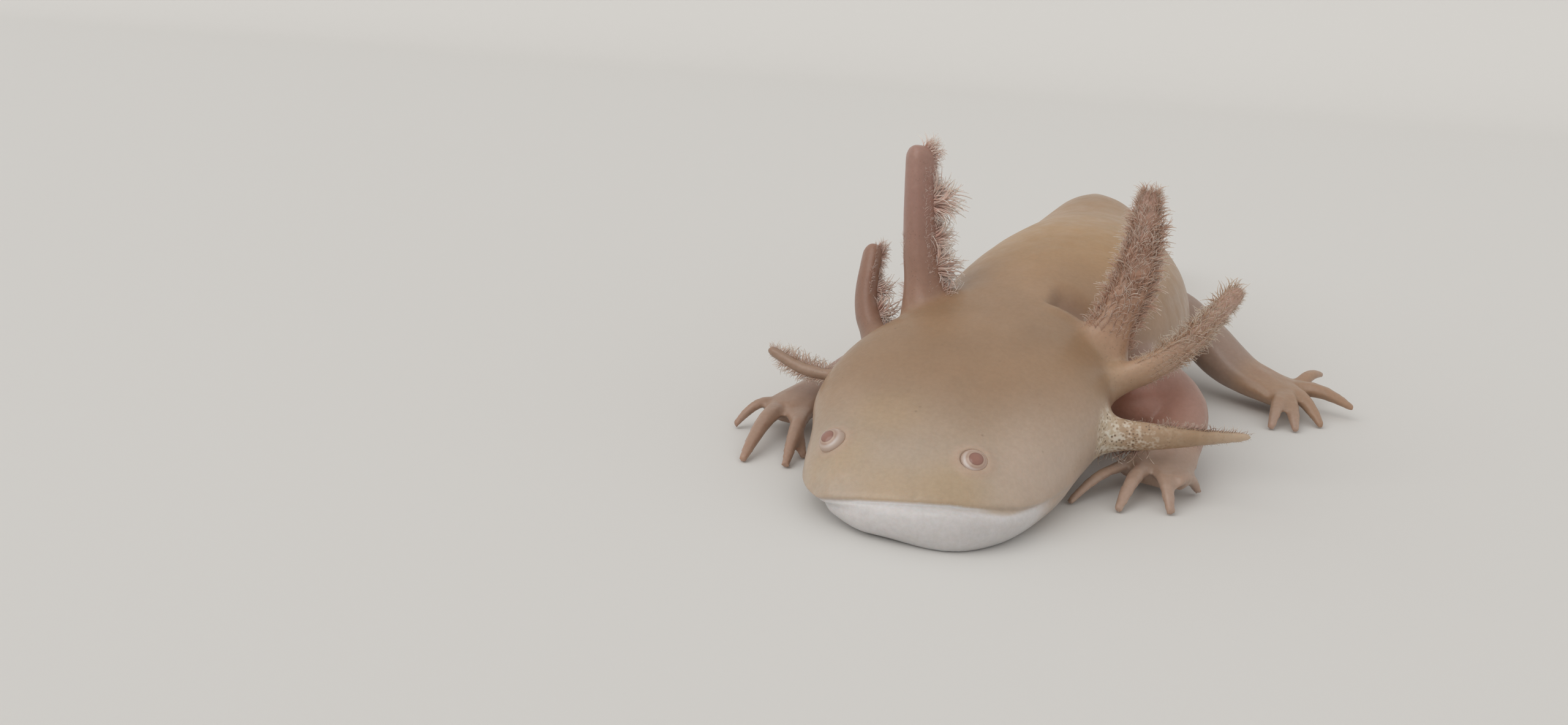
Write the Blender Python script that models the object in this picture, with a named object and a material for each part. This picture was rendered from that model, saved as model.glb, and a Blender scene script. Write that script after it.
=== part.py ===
"""Axolotl, a still, life-size model lying on its chin, belly, hands, feet and tail.

The body is one line of smooth cross-sections from the snout to the tip of the tail, parted
into head, jaw, neck, trunk and tail. Limbs, gills and fins are lofts that stop just short of it.

Shapes are laid out in millimetres from the snout: +Y runs back along the body, +X is the
animal's own left, and Z = 0 is the floor. At the end everything is moved so that the model's
box is centred on the origin.
"""

import math

import bmesh
import bpy
from mathutils import Vector

MM = 0.001
GAP = 0.3  # space between touching pieces
FLOOR_DEPTH = 20.0

# ---------------------------------------------------------------- sizes of the body

BODY_AROUND = 24  # corners of a body section
HEAD_STEP = 2.4  # spacing of sections
TRUNK_STEP = 5.1
TAIL_STEP = 7.8

# Each row is one section of the body:
# back from snout, sideways shift of the midline, half width, underside, widest level, back.
BODY = (
    (0.0, 0.6, 15.6, -0.8, 3.4, 8.0),
    (6.0, 0.7, 16.4, -1.2, 4.4, 10.0),
    (12.0, 1.0, 18.0, -1.2, 5.6, 12.8),
    (20.0, 1.7, 20.3, -1.2, 7.2, 16.6),
    (28.0, 2.5, 21.8, -1.0, 9.0, 20.2),
    (35.0, 3.2, 21.4, 0.2, 10.6, 22.8),
    (42.0, 4.2, 18.8, 1.4, 12.0, 24.8),
    (50.0, 6.0, 16.8, 1.6, 13.0, 27.2),
    (62.0, 8.3, 19.4, 0.2, 13.6, 30.8),
    (76.0, 10.2, 21.2, -1.2, 14.0, 33.0),
    (92.0, 10.4, 20.6, -1.4, 14.4, 33.2),
    (106.0, 9.0, 17.2, -0.8, 15.4, 33.0),
    (118.0, 7.7, 13.6, 1.4, 16.4, 34.4),
    (128.0, 5.6, 11.2, 4.0, 16.8, 33.0),
    (138.0, 4.2, 8.8, 5.8, 16.0, 27.6),
    (152.0, 2.4, 6.8, 6.6, 14.2, 22.4),
    (172.0, 0.8, 4.8, 6.8, 12.2, 18.0),
    (196.0, 1.6, 2.9, 6.8, 10.4, 14.0),
    (222.0, 6.4, 1.2, 6.6, 8.6, 10.6),
)
SHIFT, HALF_WIDTH, UNDERSIDE, LEVEL, BACK = range(1, 6)

SNOUT_START = -3.2
SNOUT_TIP = -3.5
SNOUT_ROUND_WIDE = 13.0  # length over which the snout rounds off, seen from above
SNOUT_ROUND_HIGH = 9.0  # above the lips, seen from the side
CHIN_ROUND = 4.5  # and below them
HEAD_TURN = -0.04  # the head looks a little to its own right, radians
SNOUT_BLUNTNESS = 2.4
TAIL_ROUND = 9.0
TAIL_END = 222.0
HEAD_SQUARENESS = 2.45  # exponent of the section's curve: 2 is an ellipse
TRUNK_SQUARENESS = 2.1
HEAD_END = 38.0
NECK_END = 51.0
CHEST_END = 76.0
BELLY_END = 102.0
TRUNK_END = 130.0
TAIL_BASE_END = 158.0
TAIL_MIDDLE_END = 192.0

# Lengths of the trunk and tail: name, start, end, spacing of the sections.
TRUNK_LENGTHS = (
    ("neck", HEAD_END + GAP / 2, NECK_END - GAP / 2, TRUNK_STEP),
    ("chest", NECK_END + GAP / 2, CHEST_END - GAP / 2, TRUNK_STEP),
    ("belly", CHEST_END + GAP / 2, BELLY_END - GAP / 2, TRUNK_STEP),
    ("pelvis", BELLY_END + GAP / 2, TRUNK_END - GAP / 2, TRUNK_STEP),
    ("tail_base", TRUNK_END + GAP / 2, TAIL_BASE_END - GAP / 2, TAIL_STEP),
    ("tail_middle", TAIL_BASE_END + GAP / 2, TAIL_MIDDLE_END - GAP / 2, TAIL_STEP),
    ("tail_tip", TAIL_MIDDLE_END + GAP / 2, TAIL_END, TAIL_STEP),
)

# The mouth line seen from the side: back from the snout, height.
MOUTH_LINE = ((-9.0, 5.5), (0.0, 5.6), (5.0, 5.0), (10.0, 4.2), (15.0, 4.2), (20.0, 5.2))
JAW_BACK_TOP = (24.0, 5.2)
JAW_BACK_FLOOR = (29.0, -4.0)

EYE_RADIUS = 2.35  # most of each eyeball lies inside the head
EYE_BACK = 9.2
EYE_SPREAD = 10.2
EYE_HEIGHT = 8.9
EYE_SHIFT = -0.4

# ---------------------------------------------------------------- sizes of the fins

FIN_THICK = 1.1
FIN_EDGE_THICK = 0.7
FIN_STEP = 6.6
FIN_END = 229.0
# back from snout, top edge of the upper fin, bottom edge of the lower fin
FIN_EDGES = (
    (118.0, 34.7, 0.0),
    (130.0, 33.7, 0.0),
    (142.0, 28.6, 3.9),
    (156.0, 26.2, 1.5),
    (168.0, 25.6, 0.0),
    (180.0, 25.0, 0.0),
    (198.0, 22.8, 0.0),
    (214.0, 18.4, 1.6),
    (223.0, 14.4, 4.2),
    (229.0, 10.6, 7.4),
)
BACK_FIN_START = 121.0
TAIL_FIN_START = 132.0
LOWER_FIN_START = 141.0
TAIL_FIN_PARTING = 180.0

# ---------------------------------------------------------------- sizes of the limbs

LIMB_AROUND = 10
LIMB_STEPS = 5  # sections in each length of a limb
DIGIT_AROUND = 6
DIGIT_STEPS = 5
DIGIT_SUNK = 2.0  # a digit's root lies this far inside the palm

# Points along each limb: x, y, z, half width, half thickness. Shoulder or hip first, then the
# middle of the upper length, elbow or knee, middle of the lower length, wrist or ankle, knuckles.
LIMBS = {
    "front_left": (
        (14.0, 61.0, 12.5, 6.2, 5.4),
        (24.6, 57.6, 12.0, 6.4, 6.0),
        (32.2, 53.2, 10.6, 5.2, 4.5),
        (34.2, 48.8, 7.9, 4.6, 3.4),
        (33.6, 43.0, 5.0, 4.8, 2.7),
        (31.9, 35.2, 2.9, 5.8, 2.0),
    ),
    "front_right": (
        (-5.0, 58.0, 12.0, 6.0, 5.2),
        (-14.6, 56.0, 10.4, 5.2, 4.6),
        (-19.8, 51.0, 8.4, 4.3, 3.7),
        (-23.4, 45.0, 6.0, 4.0, 3.1),
        (-26.2, 38.6, 4.4, 4.1, 2.6),
        (-27.8, 32.0, 3.2, 5.0, 2.0),
    ),
    "hind_left": (
        (18.0, 112.0, 14.0, 7.6, 6.6),
        (27.0, 108.6, 12.6, 6.6, 5.6),
        (33.6, 104.0, 10.0, 5.3, 4.6),
        (38.6, 99.6, 7.0, 5.2, 4.2),
        (43.4, 96.8, 5.0, 5.6, 3.3),
        (51.2, 94.6, 3.3, 7.8, 2.1),
    ),
    "hind_right": (
        (-1.0, 114.0, 13.0, 7.2, 6.2),
        (-10.0, 116.5, 11.0, 6.2, 5.2),
        (-16.5, 120.5, 8.6, 5.2, 4.4),
        (-18.6, 127.0, 6.2, 5.0, 3.8),
        (-18.6, 132.0, 4.6, 5.2, 3.1),
        (-19.6, 139.0, 3.1, 7.0, 2.1),
    ),
}
# Tips of the fingers and toes: x, y, z, and the radius at the root.
DIGITS = {
    "front_left": (
        (21.6, 24.4, 0.45, 1.3),
        (28.6, 25.0, 0.45, 1.5),
        (35.8, 28.0, 0.45, 1.5),
        (38.8, 39.4, 0.45, 1.3),
    ),
    "front_right": (
        (-35.4, 29.0, 0.45, 1.2),
        (-27.4, 14.8, 0.45, 1.9),
        (-20.6, 16.0, 0.45, 1.6),
        (-19.6, 21.0, 0.45, 1.2),
    ),
    "hind_left": (
        (56.8, 108.6, 4.8, 1.7),
        (62.6, 95.4, 2.4, 2.3),
        (57.2, 86.8, 0.45, 2.1),
        (52.8, 81.2, 0.45, 1.9),
        (48.6, 80.4, 0.45, 1.6),
    ),
    "hind_right": (
        (-31.0, 141.0, 0.45, 1.6),
        (-29.0, 149.4, 0.45, 1.9),
        (-22.4, 153.6, 0.45, 2.1),
        (-15.4, 151.6, 0.45, 2.0),
        (-10.8, 145.6, 0.45, 1.6),
    ),
}
LIMB_NAMES = {
    "front": ("upper_arm", "forearm", "hand"),
    "hind": ("thigh", "shank", "foot"),
}
DIGIT_ARCH = 1.5  # how far a digit's middle stands above the straight line to its tip
DIGIT_TIP_RADIUS = 0.7
DIGIT_FLATNESS = 0.8  # thickness of a digit against its width

# ---------------------------------------------------------------- sizes of the gills

GILL_AROUND = 7
GILL_STEPS = 7
GILL_SUNK = 0.16  # share of the stalk that starts inside the neck
FILAMENTS = 7  # in each of a gill's two rows
FILAMENT_WIDTH = 1.3
FILAMENT_TIP = 0.6
FIRST_FILAMENT = 0.30  # share of the stalk without filaments

# name: base, tip, bow of the middle, way the fringe trails, root and tip half width, fringe length
GILLS = {
    "gill_upper_left": (
        (20.6, 44.0, 18.4), (24.6, 49.6, 44.6), (1.8, 0.0, 0.2), (-0.2, 0.9, 0.1),
        3.8, 2.0, 4.6,
    ),
    "gill_middle_left": (
        (20.6, 39.2, 13.0), (40.2, 53.2, 30.2), (1.6, -1.4, -1.6), (-0.3, 0.8, 0.5),
        3.2, 1.7, 4.2,
    ),
    "gill_lower_left": (
        (20.8, 32.6, 8.6), (45.2, 36.6, 11.4), (0.0, -0.6, -0.2), (-0.2, 0.9, 0.3),
        3.9, 0.8, 2.2,
    ),
    "gill_upper_right": (
        (-9.6, 43.8, 20.4), (-13.9, 48.4, 48.2), (-0.4, 0.0, 0.0), (0.8, 0.6, 0.0),
        3.2, 2.3, 5.0,
    ),
    "gill_middle_right": (
        (-14.8, 39.6, 14.0), (-21.4, 53.2, 29.8), (-1.8, 0.0, -1.2), (0.5, 0.8, 0.2),
        3.0, 2.0, 4.0,
    ),
    "gill_lower_right": (
        (-17.4, 33.2, 10.6), (-32.6, 35.0, 12.9), (0.0, -0.4, -1.1), (0.1, 0.5, 0.8),
        1.9, 1.2, 2.4,
    ),
}

# ---------------------------------------------------------------- finishes

SKIN_TAN = (0.46, 0.33, 0.22, 1.0)
SKIN_PALE = (0.62, 0.56, 0.52, 1.0)
GILL_PINK = (0.42, 0.23, 0.18, 1.0)
FIN_TAN = (0.52, 0.42, 0.32, 1.0)
EYE_ROSE = (0.42, 0.18, 0.14, 1.0)


def finish(name, colour, roughness):
    """A plain Principled finish for one kind of surface."""
    material = bpy.data.materials.new(name)
    material.use_nodes = True
    shader = material.node_tree.nodes["Principled BSDF"]
    shader.inputs["Base Color"].default_value = colour
    shader.inputs["Roughness"].default_value = roughness
    shader.inputs["Metallic"].default_value = 0.0
    material.diffuse_color = colour
    return material


def clear_scene():
    for obj in list(bpy.data.objects):
        bpy.data.objects.remove(obj)


def new_collection(name):
    collection = bpy.data.collections.new(name)
    bpy.context.scene.collection.children.link(collection)
    return collection


clear_scene()
PARTS = new_collection("axolotl")
CUTTERS = new_collection("cutters")
SKIN = finish("skin", SKIN_TAN, 0.45)
PALE = finish("pale_skin", SKIN_PALE, 0.4)
GILL = finish("gill", GILL_PINK, 0.5)
FIN = finish("fin", FIN_TAN, 0.4)
EYE = finish("eye", EYE_ROSE, 0.1)


# ---------------------------------------------------------------- making meshes


def add_mesh(name, bm, material=None):
    """Puts a finished mesh in the scene, as a part if it has a material and as a cutter if not."""
    bmesh.ops.recalc_face_normals(bm, faces=bm.faces)
    mesh = bpy.data.meshes.new(name)
    bm.to_mesh(mesh)
    bm.free()
    obj = bpy.data.objects.new(name, mesh)
    if material:
        mesh.materials.append(material)
        mesh.shade_smooth()
        PARTS.objects.link(obj)
    else:
        CUTTERS.objects.link(obj)
        obj.hide_render = True
        obj.display_type = "WIRE"
    return obj


def add_loft(bm, rings):
    """Adds a closed skin through a row of rings that all have the same number of points, in mm."""
    rows = [[bm.verts.new(Vector(point) * MM) for point in ring] for ring in rings]
    count = len(rows[0])
    for near, far in zip(rows, rows[1:]):
        for k in range(count):
            after = (k + 1) % count
            bm.faces.new((near[k], near[after], far[after], far[k]))
    bm.faces.new(rows[0])
    bm.faces.new(rows[-1])


def loft(name, rings, material=None):
    bm = bmesh.new()
    add_loft(bm, rings)
    return add_mesh(name, bm, material)


def combine(obj, operation, *others):
    """Adds one Boolean to obj for each of the others."""
    for other in others:
        modifier = obj.modifiers.new(f"{operation.lower()}_{other.name}", "BOOLEAN")
        modifier.operation = operation
        modifier.object = other
    return obj


def smooth_value(rows, column, at):
    """Value at one place of the smooth curve through a table's column, against its first column."""
    last = len(rows) - 1
    if at <= rows[0][0]:
        return rows[0][column]
    if at >= rows[last][0]:
        return rows[last][column]
    i = next(k for k in range(last) if rows[k + 1][0] >= at)
    span = rows[i + 1][0] - rows[i][0]

    def slope(k):
        low, high = max(k - 1, 0), min(k + 1, last)
        return (rows[high][column] - rows[low][column]) / (rows[high][0] - rows[low][0])

    t = (at - rows[i][0]) / span
    start, end = rows[i][column], rows[i + 1][column]
    return (
        start * (2 * t**3 - 3 * t**2 + 1)
        + end * (3 * t**2 - 2 * t**3)
        + span * slope(i) * (t**3 - 2 * t**2 + t)
        + span * slope(i + 1) * (t**3 - t**2)
    )


def steps(start, end, spacing):
    """Evenly spaced places from start to end, both included."""
    count = max(1, round((end - start) / spacing))
    return [start + (end - start) * k / count for k in range(count + 1)]


# ---------------------------------------------------------------- head, trunk and tail


def rounded_off(distance, length, bluntness=2.0):
    """1 past the end's rounding, and falling to 0 at the very tip."""
    share = min(max(distance / length, 0.0), 1.0)
    return (1 - (1 - share) ** bluntness) ** (1 / bluntness)


def body_section(back, grow=0.0):
    """One ring of the body, as points in mm. It stands square to the curved midline."""
    wide = rounded_off(back - SNOUT_TIP, SNOUT_ROUND_WIDE, SNOUT_BLUNTNESS)
    high = rounded_off(back - SNOUT_TIP, SNOUT_ROUND_HIGH)
    deep = rounded_off(back - SNOUT_TIP, CHIN_ROUND)
    tail = rounded_off(TAIL_END + 1.0 - back, TAIL_ROUND)
    level = smooth_value(BODY, LEVEL, back)
    half = smooth_value(BODY, HALF_WIDTH, back) * wide * tail + grow
    rise = (smooth_value(BODY, BACK, back) - level) * high * tail + grow
    drop = (level - smooth_value(BODY, UNDERSIDE, back)) * deep * tail + grow
    head_share = 1 - min(max((back - HEAD_END) / HEAD_END, 0.0), 1.0)
    power = 2 / (TRUNK_SQUARENESS + (HEAD_SQUARENESS - TRUNK_SQUARENESS) * head_share)
    shift = smooth_value(BODY, SHIFT, back)
    slope = math.atan(smooth_value(BODY, SHIFT, back + 0.5) - smooth_value(BODY, SHIFT, back - 0.5))
    turn = HEAD_TURN * head_share + slope * (1 - head_share)
    ring = []
    for k in range(BODY_AROUND):
        angle = 2 * math.pi * k / BODY_AROUND
        across = half * math.copysign(abs(math.cos(angle)) ** power, math.cos(angle))
        reach = rise if math.sin(angle) > 0 else drop
        up = math.copysign(abs(math.sin(angle)) ** power, math.sin(angle)) * reach
        ring.append((
            shift + across * math.cos(turn),
            back - across * math.sin(turn),
            max(level + up, -grow),
        ))
    return ring


def body_length(name, start, end, spacing, material):
    """A length of the body between two stations."""
    return loft(name, [body_section(back) for back in steps(start, end, spacing)], material)


def prism(name, outline, half_width):
    """A cutter of constant outline in Y and Z, running across the body."""
    bm = bmesh.new()
    left = [(-half_width, y, z) for y, z in outline]
    right = [(half_width, y, z) for y, z in outline]
    add_loft(bm, [left, right])
    return add_mesh(name, bm)


def mouth_cutter(name, grow):
    """Everything below the mouth line and in front of the jaw's hinge."""
    line = [(y, z + grow) for y, z in MOUTH_LINE]
    hinge = [(JAW_BACK_TOP[0] + grow, JAW_BACK_TOP[1] + grow), (JAW_BACK_FLOOR[0] + grow, JAW_BACK_FLOOR[1])]
    front_floor = [(MOUTH_LINE[0][0], JAW_BACK_FLOOR[1])]
    return prism(name, line + hinge + front_floor, 30.0)


def ball(name, centre, radius, material=None):
    bm = bmesh.new()
    bmesh.ops.create_uvsphere(bm, u_segments=14, v_segments=9, radius=radius * MM)
    bmesh.ops.translate(bm, verts=bm.verts, vec=Vector(centre) * MM)
    return add_mesh(name, bm, material)


def eye_centre(side):
    return EYE_SHIFT + side * EYE_SPREAD, EYE_BACK - HEAD_TURN * side * EYE_SPREAD, EYE_HEIGHT


def make_head():
    """Skull and upper lip, lower jaw, and the two eyes in their sockets."""
    head = body_length("head", SNOUT_START, HEAD_END - GAP / 2, HEAD_STEP, SKIN)
    combine(head, "DIFFERENCE", mouth_cutter("mouth_clearance", GAP))
    jaw = body_length("lower_jaw", SNOUT_START, HEAD_END - GAP / 2, HEAD_STEP, PALE)
    combine(jaw, "INTERSECT", mouth_cutter("jaw_outline", 0.0))
    for side, word in ((1, "left"), (-1, "right")):
        ball(f"eye_{word}", eye_centre(side), EYE_RADIUS, EYE)
        combine(head, "DIFFERENCE", ball(f"socket_{word}", eye_centre(side), EYE_RADIUS + GAP))


def make_trunk_and_tail():
    for name, start, end, spacing in TRUNK_LENGTHS:
        body_length(name, start, end, spacing, SKIN)


def make_body_clearance():
    """The whole body grown by the gap, on the same stations as the parts themselves."""
    stations = steps(SNOUT_START, HEAD_END - GAP / 2, HEAD_STEP)
    for _name, start, end, spacing in TRUNK_LENGTHS:
        stations += steps(start, end, spacing)
    rings = [body_section(back, GAP) for back in stations]
    rings.append([(x, y + GAP, z) for x, y, z in rings[-1]])
    return loft("body_clearance", rings)


# ---------------------------------------------------------------- fins


def fin_section(back, low, high):
    """A thin upright ring on the midline: thick at its root and thinner towards its outer edge."""
    shift = smooth_value(BODY, SHIFT, back)
    level = smooth_value(BODY, LEVEL, back)
    thick = FIN_THICK / 2
    thin = FIN_EDGE_THICK / 2
    foot, crown = (thick, thin) if high > level else (thin, thick)
    middle = (low + high) / 2
    return [
        (shift - foot, back, low),
        (shift - thick, back, middle),
        (shift - crown, back, high),
        (shift + crown, back, high),
        (shift + thick, back, middle),
        (shift + foot, back, low),
    ]


def make_fins(body_clearance):
    """A low crest on the back that becomes the tall upper tail fin, and the lower tail fin."""

    def upper(back):
        level = smooth_value(BODY, LEVEL, back)
        return fin_section(back, level + GAP / 2, smooth_value(FIN_EDGES, 1, back))

    def lower(back):
        level = smooth_value(BODY, LEVEL, back)
        return fin_section(back, max(smooth_value(FIN_EDGES, 2, back), 0.0), level - GAP / 2)

    lengths = (
        ("back_crest", upper, BACK_FIN_START, TAIL_FIN_START),
        ("tail_fin_upper_front", upper, TAIL_FIN_START, TAIL_FIN_PARTING),
        ("tail_fin_upper_rear", upper, TAIL_FIN_PARTING, FIN_END),
        ("tail_fin_lower_front", lower, LOWER_FIN_START, TAIL_FIN_PARTING),
        ("tail_fin_lower_rear", lower, TAIL_FIN_PARTING, FIN_END),
    )
    for name, section, start, end in lengths:
        rings = [section(back) for back in steps(start + GAP / 2, end - GAP / 2, FIN_STEP)]
        combine(loft(name, rings, FIN), "DIFFERENCE", body_clearance)


# ---------------------------------------------------------------- limbs


def path_point(points, place):
    """Every column of a table of points, at a place counted in points along its smooth curve."""
    rows = [(k, *row) for k, row in enumerate(points)]
    return [smooth_value(rows, column, place) for column in range(1, len(rows[0]))]


def path_frame(points, place, up):
    """Middle, tangent, and the two directions across the path at a place."""
    middle = Vector(path_point(points, place)[:3])
    before = Vector(path_point(points, max(place - 0.1, 0.0))[:3])
    after = Vector(path_point(points, min(place + 0.1, len(points) - 1))[:3])
    tangent = (after - before).normalized()
    across = tangent.cross(up).normalized()
    return middle, tangent, across, across.cross(tangent)


def oval(middle, across, over, half_width, half_thick, count):
    ring = []
    for k in range(count):
        angle = 2 * math.pi * k / count
        ring.append(middle + across * half_width * math.cos(angle) + over * half_thick * math.sin(angle))
    return ring


def limb_length(name, points, start, end, material, count=LIMB_STEPS):
    """A length of a limb, with its two end faces moved in by half the gap."""
    rings = []
    for k, place in enumerate(steps(start, end, (end - start) / count)):
        middle, tangent, across, over = path_frame(points, place, Vector((0, 0, 1)))
        half_width, half_thick = path_point(points, place)[3:5]
        inset = {0: GAP / 2, count: -GAP / 2}.get(k, 0.0)
        rings.append(oval(middle + tangent * inset, across, over, half_width, half_thick, LIMB_AROUND))
    return loft(name, rings, material)


def split_facets(obj):
    """Cuts the facets in triangles, because round a sharp bend the four-sided ones are twisted."""
    bm = bmesh.new()
    bm.from_mesh(obj.data)
    bmesh.ops.triangulate(bm, faces=bm.faces)
    bm.to_mesh(obj.data)
    bm.free()


def digit_rings(root, tip, radius):
    """A tapering finger or toe that arches from the palm down to the floor."""
    root, tip = Vector(root), Vector(tip)
    start = root - (tip - root).normalized() * DIGIT_SUNK
    across = (tip - root).cross(Vector((0, 0, 1))).normalized()
    over = across.cross(tip - root).normalized()
    rings = []
    for share in steps(0.0, 1.0, 1 / DIGIT_STEPS):
        arch = Vector((0, 0, DIGIT_ARCH * math.sin(math.pi * share)))
        size = DIGIT_TIP_RADIUS + (radius - DIGIT_TIP_RADIUS) * (1 - share) ** 0.7
        middle = start.lerp(tip, share) + arch
        rings.append(oval(middle, across, over, size, size * DIGIT_FLATNESS, DIGIT_AROUND))
    return rings


def make_hand(name, points, tips, floor):
    """Palm or sole with its digits, all one piece, flat where it rests on the floor."""
    wrist, knuckles = len(points) - 2, len(points) - 1
    palm = limb_length(name, points, wrist, knuckles, SKIN, count=2)
    middle, _tangent, across, _over = path_frame(points, knuckles, Vector((0, 0, 1)))
    half_width = points[-1][3]
    ordered = sorted(tips, key=lambda tip: (Vector(tip[:3]) - middle).dot(across))
    for k, tip in enumerate(ordered):
        share = 2 * k / (len(ordered) - 1) - 1
        root = middle + across * share * half_width * 0.78
        digit = loft(f"{name}_digit_{k + 1}", digit_rings(root, tip[:3], tip[3]))
        combine(palm, "UNION", digit)
    combine(palm, "DIFFERENCE", floor)


def make_limbs(body_clearance, floor):
    for place, points in LIMBS.items():
        fore_or_hind, side = place.split("_")
        upper_name, lower_name, hand_name = (f"{word}_{side}" for word in LIMB_NAMES[fore_or_hind])
        combine(limb_length(upper_name, points, 0.0, 2.0, SKIN), "DIFFERENCE", body_clearance)
        split_facets(limb_length(lower_name, points, 2.0, 4.0, SKIN))
        make_hand(hand_name, points, DIGITS[place], floor)


# ---------------------------------------------------------------- gills


def gill_path(base, tip, bow):
    """Three points of a gill's stalk. The middle one is pushed out by the bow."""
    base, tip = Vector(base), Vector(tip)
    return [tuple(base), tuple(base.lerp(tip, 0.5) + Vector(bow)), tuple(tip)]


def filament_rings(root, direction, length, along):
    """A flat, tapering filament with four sides."""
    across = direction.cross(along).normalized()
    rings = []
    for share, half in ((0.0, FILAMENT_WIDTH / 2), (1.0, FILAMENT_TIP / 2)):
        middle = root + direction * length * share - along * length * 0.10 * share**2
        wide, deep = across * half, along * half
        rings.append([middle - wide, middle - deep, middle + wide, middle + deep])
    return rings


def make_gill(name, base, tip, bow, trail, root_half, tip_half, fringe, body_clearance):
    """A tapering stalk with two rows of filaments on its trailing side."""
    points = gill_path(base, tip, bow)
    trail = Vector(trail)
    last = len(points) - 1
    rings = []
    for place in steps(0.0, last, last / GILL_STEPS):
        middle, _tangent, across, over = path_frame(points, place, trail)
        half = tip_half + (root_half - tip_half) * (1 - place / last) ** 1.3
        rings.append(oval(middle, across, over, half, half * 0.62, GILL_AROUND))
    stalk = loft(name, rings, GILL)
    bm = bmesh.new()
    for k in range(FILAMENTS):
        share = FIRST_FILAMENT + (0.97 - FIRST_FILAMENT) * k / (FILAMENTS - 1)
        middle, tangent, across, over = path_frame(points, share * last, trail)
        half = tip_half + (root_half - tip_half) * (1 - share) ** 1.3
        length = fringe * (0.75 + 0.35 * math.sin(math.pi * share))
        for side in (-1, 1):
            direction = (across * side * 0.85 + over * 0.5 + tangent * 0.25).normalized()
            root = middle + across * side * half * 0.45
            add_loft(bm, filament_rings(root, direction, length + half * 0.5, tangent))
    comb = add_mesh(f"{name}_fringe", bm)
    combine(stalk, "UNION", comb)
    combine(stalk, "DIFFERENCE", body_clearance)


def make_gills(body_clearance):
    for name, sizes in GILLS.items():
        make_gill(name, *sizes, body_clearance)


# ---------------------------------------------------------------- the whole animal


def centre_on_origin():
    """Moves every object so that the model's box is centred on the origin."""
    graph = bpy.context.evaluated_depsgraph_get()
    corners = []
    for obj in PARTS.objects:
        evaluated = obj.evaluated_get(graph)
        corners += [evaluated.matrix_world @ Vector(corner) for corner in evaluated.bound_box]
    for axis in range(2):
        values = [corner[axis] for corner in corners]
        middle = (min(values) + max(values)) / 2
        for obj in [*PARTS.objects, *CUTTERS.objects]:
            obj.location[axis] -= middle


def make_axolotl():
    make_head()
    make_trunk_and_tail()
    body_clearance = make_body_clearance()
    floor = prism("floor", ((-30, 0), (FIN_END, 0), (FIN_END, -FLOOR_DEPTH), (-30, -FLOOR_DEPTH)), 120.0)
    make_fins(body_clearance)
    make_limbs(body_clearance, floor)
    make_gills(body_clearance)
    centre_on_origin()


make_axolotl()
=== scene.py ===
"""Looks of a life-size still model of an axolotl: one skin, six gill fringes and two eyes. Metres, +Z up."""
import math
from functools import partial

import bmesh
import bpy
import numpy as np
from mathutils import Matrix, Vector
from mathutils.bvhtree import BVHTree
from mathutils.kdtree import KDTree


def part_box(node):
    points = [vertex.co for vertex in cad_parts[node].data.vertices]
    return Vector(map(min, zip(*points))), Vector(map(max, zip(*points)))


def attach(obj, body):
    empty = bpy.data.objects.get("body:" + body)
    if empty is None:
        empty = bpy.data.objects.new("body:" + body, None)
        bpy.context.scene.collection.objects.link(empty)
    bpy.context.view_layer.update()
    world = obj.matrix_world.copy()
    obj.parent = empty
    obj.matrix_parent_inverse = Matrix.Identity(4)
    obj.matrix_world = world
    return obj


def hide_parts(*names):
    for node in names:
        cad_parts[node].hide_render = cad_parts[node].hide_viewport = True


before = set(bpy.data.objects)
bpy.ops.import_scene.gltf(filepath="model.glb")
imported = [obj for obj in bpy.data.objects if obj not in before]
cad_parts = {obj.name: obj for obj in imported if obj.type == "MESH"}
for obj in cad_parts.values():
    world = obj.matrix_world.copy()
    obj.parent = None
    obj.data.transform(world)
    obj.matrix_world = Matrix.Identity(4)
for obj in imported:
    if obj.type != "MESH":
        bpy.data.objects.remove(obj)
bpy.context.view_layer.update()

# ---------------------------------------------------------------- the flesh
# The body of a live axolotl is one soft form: head, trunk, tail, fins and limbs. It is taken from
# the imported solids, each grown by a little so that neighbours fuse, and sorted by how firm it is.
MM = 0.001
FUSE = 0.24 * MM
MERGE = 0.002 * MM
SIDES = ("left", "right")
KINDS = {
    "trunk": (
        "head",
        "lower_jaw",
        "neck",
        "chest",
        "belly",
        "pelvis",
        "tail_base",
        "eye_left",
        "eye_right",
    ),
    "tail": ("tail_middle", "tail_tip"),
    "fin": (
        "back_crest",
        "tail_fin_upper_front",
        "tail_fin_upper_rear",
        "tail_fin_lower_front",
        "tail_fin_lower_rear",
    ),
    "limb": tuple(
        f"{part}_{side}" for part in ("upper_arm", "forearm", "thigh", "shank") for side in SIDES
    ),
    "digit": tuple(f"{part}_{side}" for part in ("hand", "foot") for side in SIDES),
}
EYE_FROM_SNOUT = Vector((-0.4, 9.2, 8.9)) * MM


def middle_of(node):
    low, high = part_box(node)
    return (low + high) / 2


def grown_copy(form, node):
    """Adds a node's solid to a form, with its corners merged and its surface moved outwards."""
    solid = bmesh.new()
    solid.from_mesh(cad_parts[node].data)
    bmesh.ops.remove_doubles(solid, verts=solid.verts, dist=MERGE)
    solid.normal_update()
    for corner in solid.verts:
        corner.co += corner.normal * FUSE
    mesh = bpy.data.meshes.new(node + "_flesh")
    solid.to_mesh(mesh)
    solid.free()
    form.from_mesh(mesh)
    bpy.data.meshes.remove(mesh)


# The place on the floor under the snout's tip.
SNOUT = (middle_of("eye_left") + middle_of("eye_right")) / 2 - EYE_FROM_SNOUT
forms = {}
for kind, nodes in KINDS.items():
    forms[kind] = bmesh.new()
    for node in nodes:
        grown_copy(forms[kind], node)

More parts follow.
